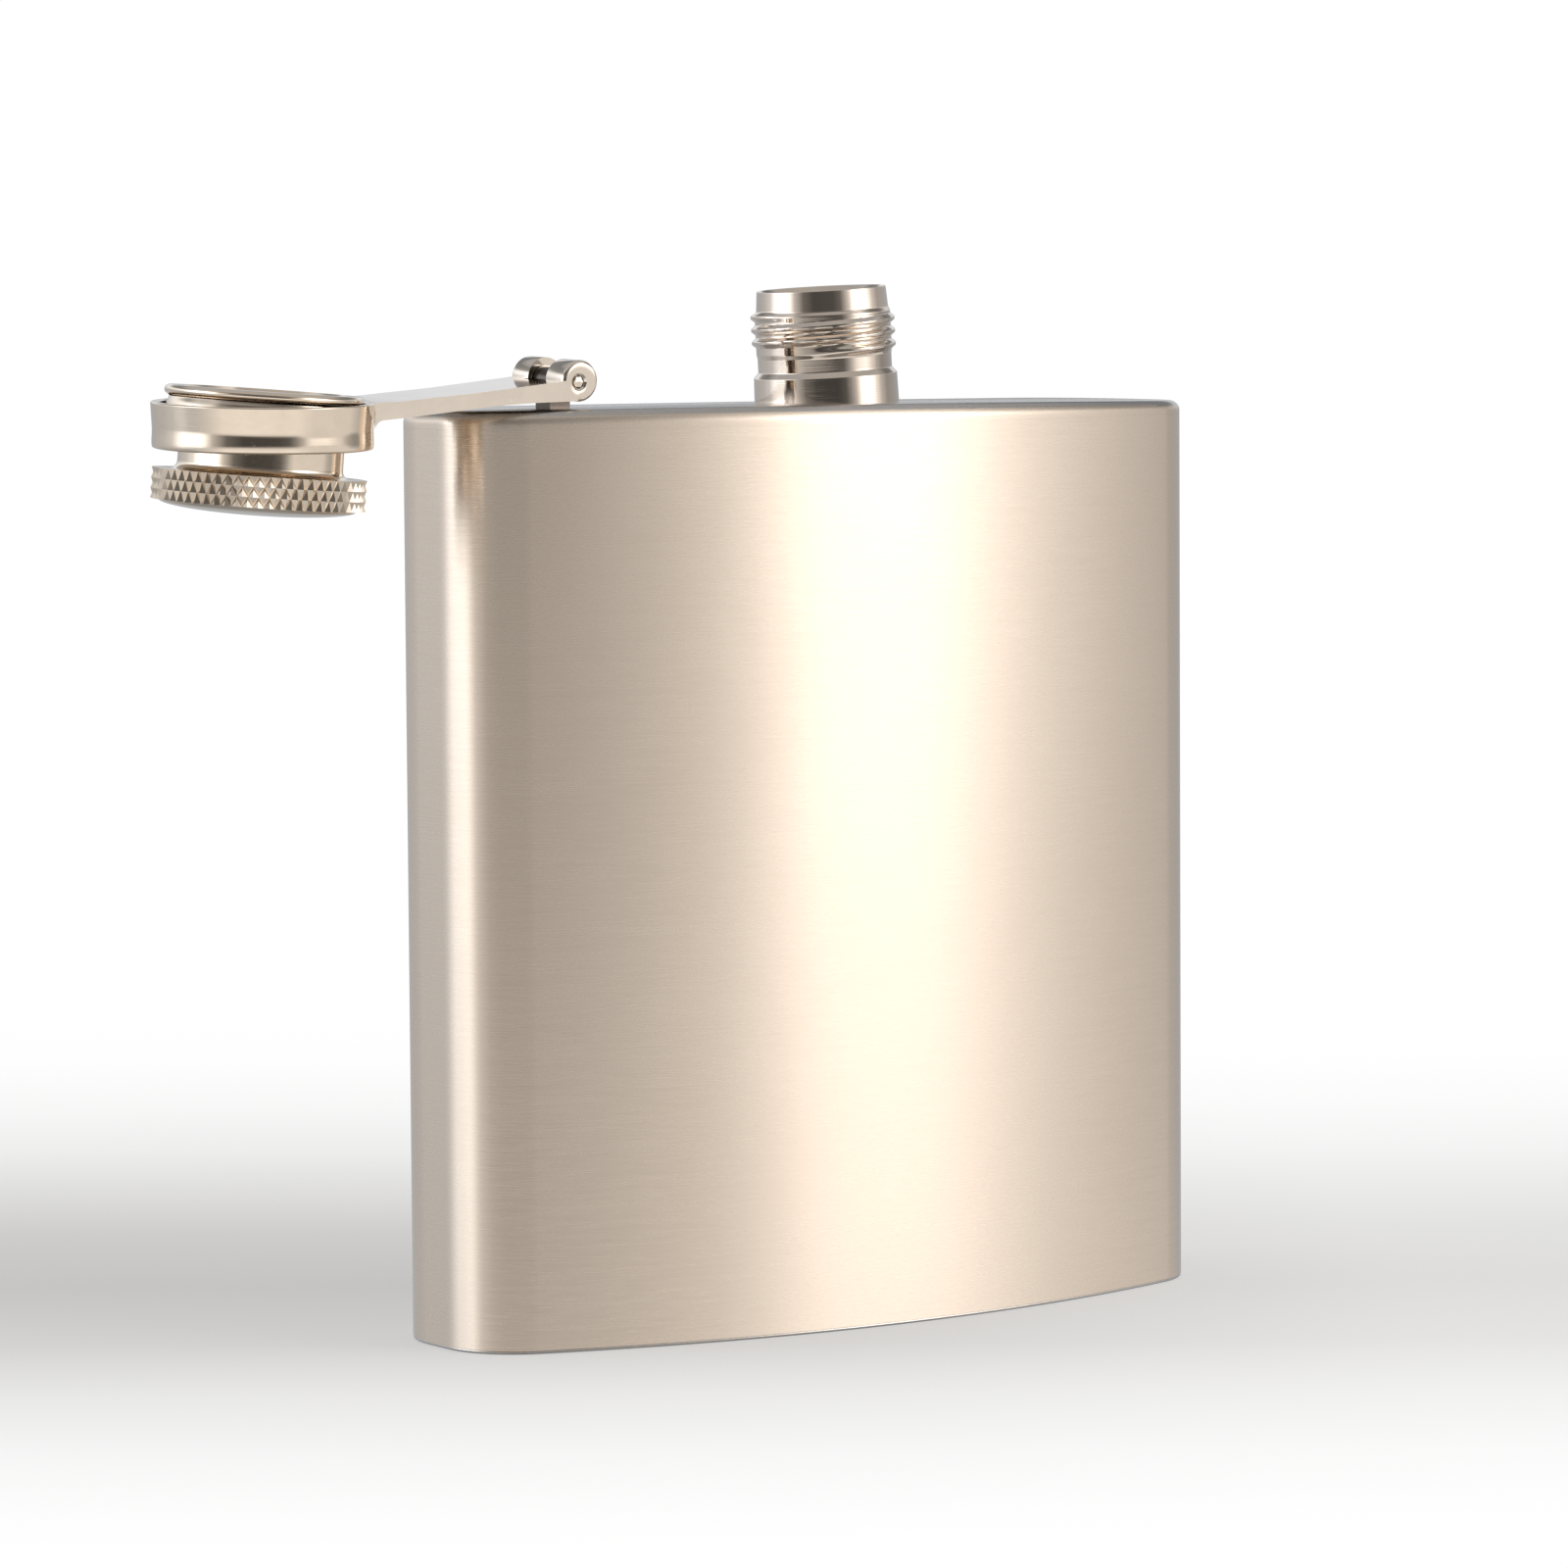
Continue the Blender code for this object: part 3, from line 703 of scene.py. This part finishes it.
def build_arm():
    half = STRAP_WIDTH / 2
    strap = extruded("hinge_strap", strap_outline(), -half, half)
    barrel = rod("barrel", KNUCKLE_R, -half, half, 0.45 * MM, 96)
    place(barrel, Matrix.Translation((KNUCKLE_AT[0], 0, KNUCKLE_AT[1])) @ ALONG_PIN)
    carve(strap, barrel, "UNION")
    reach, notch_half = 2.45 * MM, MIDDLE_WIDTH / 2 + 0.12 * MM
    square = [(-reach, -reach), (reach, -reach), (reach, reach), (-reach, reach)]
    notch = extruded("notch", square, -notch_half, notch_half)
    carve(strap, notch)
    room = rod("collar_room", COLLAR_R, -9 * MM, 9 * MM, 0, 160)
    place(room, Matrix.Translation((-COLLAR_REACH, 0, COLLAR_TOP)))
    carve(strap, room)
    hole = rod("pin_hole", PIN_HOLE_R, -8 * MM, 8 * MM, 0, 48)
    place(hole, ALONG_PIN)
    carve(strap, hole)
    for side in (-1, 1):
        sink = turned(
            "countersink",
            [(0, 1 * MM), (1.9 * MM, 1 * MM), (0.9 * MM, 0), (0.7 * MM, -0.16 * MM), (0, -0.16 * MM)],
            48,
            closed=False,
        )
        outwards = Matrix.Rotation(-side * math.pi / 2, 4, "X")
        place(sink, Matrix.Translation((0, side * half, 0)) @ outwards)
        carve(strap, sink)
    place(strap, arm_place)
    soften(strap, 0.2 * MM, 3)
    finish_piece(strap, "arm", ["hinge_arm"], chrome_arm)


def build_collar():
    """A ring with a flared lip, and a ledge inside it that the cap's flange hangs on."""
    lip_round, ledge_round = 0.14 * MM, 0.15 * MM
    profile = fillet(
        [
            (COLLAR_EYE_R, 0, lip_round),
            (COLLAR_R, 0, lip_round),
            (10.86 * MM, -2.75 * MM, 5 * MM),
            (10.92 * MM, -3.95 * MM, 4 * MM),
            (10.86 * MM, -COLLAR_HEIGHT, 0.25 * MM),
            (LEDGE_R, -COLLAR_HEIGHT, 0.2 * MM),
            (LEDGE_R, -LEDGE_DEPTH, ledge_round),
            (COLLAR_EYE_R, -LEDGE_DEPTH, ledge_round),
        ]
    )
    collar = turned("captive_collar", profile, 192)
    place(collar, collar_place)
    finish_piece(collar, "arm", ["cap_collar"], chrome)


# ---------------------------------------------------------------- cap


def build_flange():
    bead = arc((9.35 * MM, -0.5 * MM), 0.5 * MM, 80, -75, 14)
    corners = [(8.2 * MM, 0.0), (8.9 * MM, -0.06 * MM)] + bead
    corners += [(9.36 * MM, -1.12 * MM), (9.42 * MM, -1.35 * MM), (9.6 * MM, -1.75 * MM)]
    corners += [(9.6 * MM, -2.5 * MM), (9.5 * MM, -2.6 * MM), (8.35 * MM, -2.6 * MM)]
    corners += [(8.35 * MM, -1.8 * MM), (CAP_BORE_R, -1.8 * MM), (CAP_BORE_R, -1.2 * MM)]
    corners += [(7.95 * MM, -0.6 * MM)]
    flange = turned("cap_flange_ring", corners, 192)
    place(flange, cap_place)
    finish_piece(flange, "cap", ["cap_flange"], chrome)


def knurl_height(angle, below):
    """Diamond pyramids, 1 at a point and 0 in a groove."""
    u = angle * KNURL_COUNT / (2 * math.pi)
    v = below / KNURL_HEIGHT * KNURL_ROWS / 2
    rising, falling = (u + v) % 1.0, (u - v) % 1.0
    return np.minimum(1 - np.abs(2 * rising - 1), 1 - np.abs(2 * falling - 1))


def build_knob():
    top, low = -KNOB_TOP, -KNOB_TOP - KNURL_HEIGHT
    rows = 2 * KNURL_ROWS  # so that every groove runs through the corners of the mesh
    band = [(KNOB_R, top - KNURL_HEIGHT * k / rows) for k in range(rows + 1)]
    cove = arc((8.95 * MM, top + 0.8 * MM), 0.8 * MM, 180, 268, 8)
    dome = [
        (9.75 * MM * math.cos(a), low - 0.05 * MM - 1.0 * MM * math.sin(a))
        for a in np.linspace(0.0, math.pi / 2, 14)
    ]
    dome[-1] = (0.0, dome[-1][1])
    outside = [(7.9 * MM, -2.1 * MM), (8.05 * MM, -2.1 * MM), (8.15 * MM, -2.2 * MM)] + cove
    outside += [(10.1 * MM, top + 0.03 * MM)] + band + [(10.1 * MM, low - 0.05 * MM)] + dome
    bore = [(0.0, -CAVITY_END), (CAVITY_R, -CAVITY_END), (CAVITY_R, -6.6 * MM)]
    bore += [(CAP_BORE_R, -6.2 * MM), (CAP_BORE_R, -2.1 * MM)]
    inside = refine(bore, 0.12 * MM, -6.4 * MM, 0)
    profile = inside + outside  # up the bore, over the stem's end and down the outside

    def shaped(angle, radius, height):
        below = top - height
        on_band = np.abs(radius - KNOB_R) < 0.001 * MM
        radius = np.where(on_band, radius - KNURL_DEPTH * (1 - knurl_height(angle, below)), radius)
        in_bore = (np.abs(radius - CAP_BORE_R) < 0.01 * MM) & (height > -6.3 * MM)
        groove = thread_height(angle, -INNER_THREAD_TOP - height, INNER_THREAD_TURNS)
        return np.where(in_bore, radius + INNER_THREAD_DEPTH * groove, radius), height

    knob = turned("cap_knob_knurled", profile, KNURL_COUNT * 4, closed=False, change=shaped)
    place(knob, cap_place)
    finish_piece(knob, "cap", ["cap_knob"], chrome)


def build_gasket():
    profile = fillet(
        [
            (4.0 * MM, -7.6 * MM, 0.2 * MM),
            (7.0 * MM, -7.6 * MM, 0.3 * MM),
            (7.0 * MM, -8.8 * MM, 0.3 * MM),
            (4.0 * MM, -8.8 * MM, 0.2 * MM),
        ]
    )
    gasket = turned("seal_washer", profile, 96)
    place(gasket, cap_place)
    finish_piece(gasket, "gasket", ["cap_gasket"], gasket_white)


# ---------------------------------------------------------------- stage

YAW, PITCH, ROLL = 34.541 * DEG, 4.535 * DEG, -0.375 * DEG
CAMERA_DISTANCE, AIM_RIGHT, AIM_UP = 711.8 * MM, -5.51 * MM, 55.61 * MM
SENSOR, LENS = 36.0, 156.7
LOOK_LEVEL = Vector((math.sin(YAW), math.cos(YAW), 0))


def build_camera():
    ahead = Vector(
        (math.sin(YAW) * math.cos(PITCH), math.cos(YAW) * math.cos(PITCH), -math.sin(PITCH))
    )
    right = Vector((math.cos(YAW), -math.sin(YAW), 0))
    up = right.cross(ahead)
    side = right * math.cos(ROLL) + up * math.sin(ROLL)
    top = up * math.cos(ROLL) - right * math.sin(ROLL)
    turn = Matrix((side, top, -ahead)).transposed().to_4x4()
    at = right * AIM_RIGHT + Vector((0, 0, AIM_UP)) - ahead * CAMERA_DISTANCE
    data = bpy.data.cameras.new("camera")
    data.sensor_width, data.lens = SENSOR, LENS
    data.clip_start, data.clip_end = 0.01, 50
    camera = bpy.data.objects.new("camera", data)
    camera.matrix_world = Matrix.Translation(at) @ turn
    bpy.context.scene.collection.objects.link(camera)
    bpy.context.scene.camera = camera


# Whiteness of the floor by distance in metres behind the flask, along the line of sight; the dip under
# the flask is a painted shade band
PAINTED_FLOOR_SHADE = (
    (-0.15, 1.0), (-0.115, 0.94), (-0.084, 0.84), (-0.05, 0.64), (-0.02, 0.38), (0.02, 0.27),
    (0.06, 0.33), (0.095, 0.5), (0.13, 0.7), (0.17, 0.84), (0.22, 0.94), (0.34, 1.0),
)


def build_floor():
    """A pale floor: a soft grey band of painted shade under the flask that fades to white before and
    behind it, with painted light making it whiter towards the camera's right.
    """
    bpy.ops.mesh.primitive_plane_add(size=8.0, location=(0, 0, -0.02 * MM))
    floor = bpy.context.object
    floor.name = "floor"
    material = bpy.data.materials.new("pale_floor")
    material.use_nodes = True
    tree = material.node_tree
    tree.nodes.clear()
    nodes = Nodes(tree)
    where = nodes.add("ShaderNodeTexCoord").outputs["Object"]
    depth = nodes.add("ShaderNodeVectorMath", operation="DOT_PRODUCT")
    depth.inputs[1].default_value = LOOK_LEVEL
    nodes.link(where, depth.inputs[0])
    # painted shade: the floor shows less white in a band under the flask
    fade = nodes.ramp(depth.outputs["Value"], PAINTED_FLOOR_SHADE)
    across = nodes.add("ShaderNodeVectorMath", operation="DOT_PRODUCT")
    across.inputs[1].default_value = (LOOK_LEVEL.y, -LOOK_LEVEL.x, 0)
    nodes.link(where, across.inputs[0])
    # painted light: the floor is made whiter towards the camera's right, the lamp's side
    painted_light_right = nodes.spread(across.outputs["Value"], 0.0, 0.35, -0.03, 0.06)
    fade = nodes.blend(painted_light_right, fade, 1.0)
    pale = nodes.add("ShaderNodeBsdfDiffuse")
    pale.inputs["Color"].default_value = (0.83, 0.805, 0.785, 1)
    white = nodes.add("ShaderNodeEmission")
    white.inputs["Strength"].default_value = WHITE
    blend = nodes.add("ShaderNodeMixShader")
    nodes.link(fade, blend.inputs["Fac"])
    nodes.link(pale.outputs["BSDF"], blend.inputs[1])
    nodes.link(white.outputs["Emission"], blend.inputs[2])
    nodes.link(blend.outputs["Shader"], nodes.add("ShaderNodeOutputMaterial").inputs["Surface"])
    floor.data.materials.append(material)
    floor.visible_glossy = False  # the studio below the horizon stands for it in reflections


# Brightness of the studio by azimuth in degrees: 0 is straight out of the front wall and
# 90 is away from the hinge.  The lamps are at 33 and -110, and the camera's side is dark.
STUDIO = (
    (-180, 0.5), (-155, 0.6), (-138, 0.8), (-122, 1.75), (-98, 1.9), (-84, 0.6), (-68, 0.16),
    (-50, 0.07), (-15, 0.07), (-2, 0.12), (6, 0.32), (14, 0.58), (20, 1.1), (26, 2.45),
    (40, 2.6), (48, 1.7), (55, 1.0), (65, 0.55), (80, 0.32), (120, 0.42), (180, 0.5),
)
FLOOR_IN_FRONT, FLOOR_NEAR, FLOOR_AT_KEY, FLOOR_BEHIND = 0.85, 1.2, 0.8, 0.5
UNDER_LIGHT, CEILING_LIGHT = 0.3, 0.5
DARK_GAP = ((-1, 1), (0.3, 1), (0.4, 0.35), (0.54, 0.35), (0.68, 1), (1, 1))  # over the lamps
KEY_RAISED = 0.1  # how much higher, as the sine of the angle, the foot of the lamp at 33 is


def build_world():
    """A studio drawn by direction; the camera itself sees plain white behind the flask."""
    world = bpy.data.worlds.new("studio")
    bpy.context.scene.world = world
    world.use_nodes = True
    tree = world.node_tree
    tree.nodes.clear()
    nodes = Nodes(tree)
    direction = nodes.add("ShaderNodeTexCoord").outputs["Generated"]
    parts = nodes.add("ShaderNodeSeparateXYZ")
    nodes.link(direction, parts.inputs["Vector"])
    forwards = nodes.math("MULTIPLY", parts.outputs["Y"], -1.0)
    azimuth = nodes.math("ARCTAN2", parts.outputs["X"], forwards)
    brightest = max(value for _, value in STUDIO)
    azimuth = nodes.spread(azimuth, -180.0, 180.0, -math.pi, math.pi)
    around = nodes.ramp(azimuth, [(at, value / brightest) for at, value in STUDIO])
    level = nodes.math("MULTIPLY", around, brightest)
    height = parts.outputs["Z"]
    behind = nodes.spread(parts.outputs["Y"], 0.0, 1.0, -0.3, 0.4)
    level = nodes.math("MULTIPLY", level, nodes.spread(height, 1.0, 2.0, 0.0, 0.22))
    key_side = nodes.spread(azimuth, 0.0, 1.0, 5.0, 25.0)
    floor_light = nodes.spread(height, FLOOR_NEAR, FLOOR_IN_FRONT, -0.38, -0.12)
    floor_light = nodes.blend(key_side, floor_light, FLOOR_AT_KEY)
    floor_light = nodes.blend(behind, floor_light, FLOOR_BEHIND)
    key_rise = nodes.math("MULTIPLY", key_side, nodes.spread(azimuth, KEY_RAISED, 0.0, 55.0, 75.0))
    edge = nodes.math("SUBTRACT", height, key_rise)
    level = nodes.blend(nodes.spread(edge, 1.0, 0.0, -0.15, -0.06), level, floor_light)
    level = nodes.blend(nodes.spread(height, 1.0, 0.0, -0.7, -0.3), level, UNDER_LIGHT)
    level = nodes.blend(nodes.spread(height, 0.0, 1.0, 0.25, 0.7), level, CEILING_LIGHT)
    level = nodes.math("MULTIPLY", level, nodes.ramp(height, DARK_GAP))
    studio = nodes.add("ShaderNodeBackground")
    tint = nodes.mix(behind, (1.0, 0.98, 0.955, 1), (0.95, 0.985, 1.03, 1))
    nodes.link(tint, studio.inputs["Color"])
    nodes.link(level, studio.inputs["Strength"])
    plain = nodes.add("ShaderNodeBackground")
    plain.inputs["Color"].default_value = (1, 1, 1, 1)
    plain.inputs["Strength"].default_value = WHITE
    seen = nodes.add("ShaderNodeLightPath").outputs["Is Camera Ray"]
    blend = nodes.add("ShaderNodeMixShader")
    nodes.link(seen, blend.inputs["Fac"])
    nodes.link(studio.outputs["Background"], blend.inputs[1])
    nodes.link(plain.outputs["Background"], blend.inputs[2])
    nodes.link(blend.outputs["Shader"], nodes.add("ShaderNodeOutputWorld").inputs["Surface"])


build_wall()
build_top()
build_base()
build_spout()
build_post()
build_pin()
build_arm()
build_collar()
build_flange()
build_knob()
build_gasket()

build_camera()
build_floor()
build_world()
bpy.context.scene.view_settings.view_transform = "Standard"
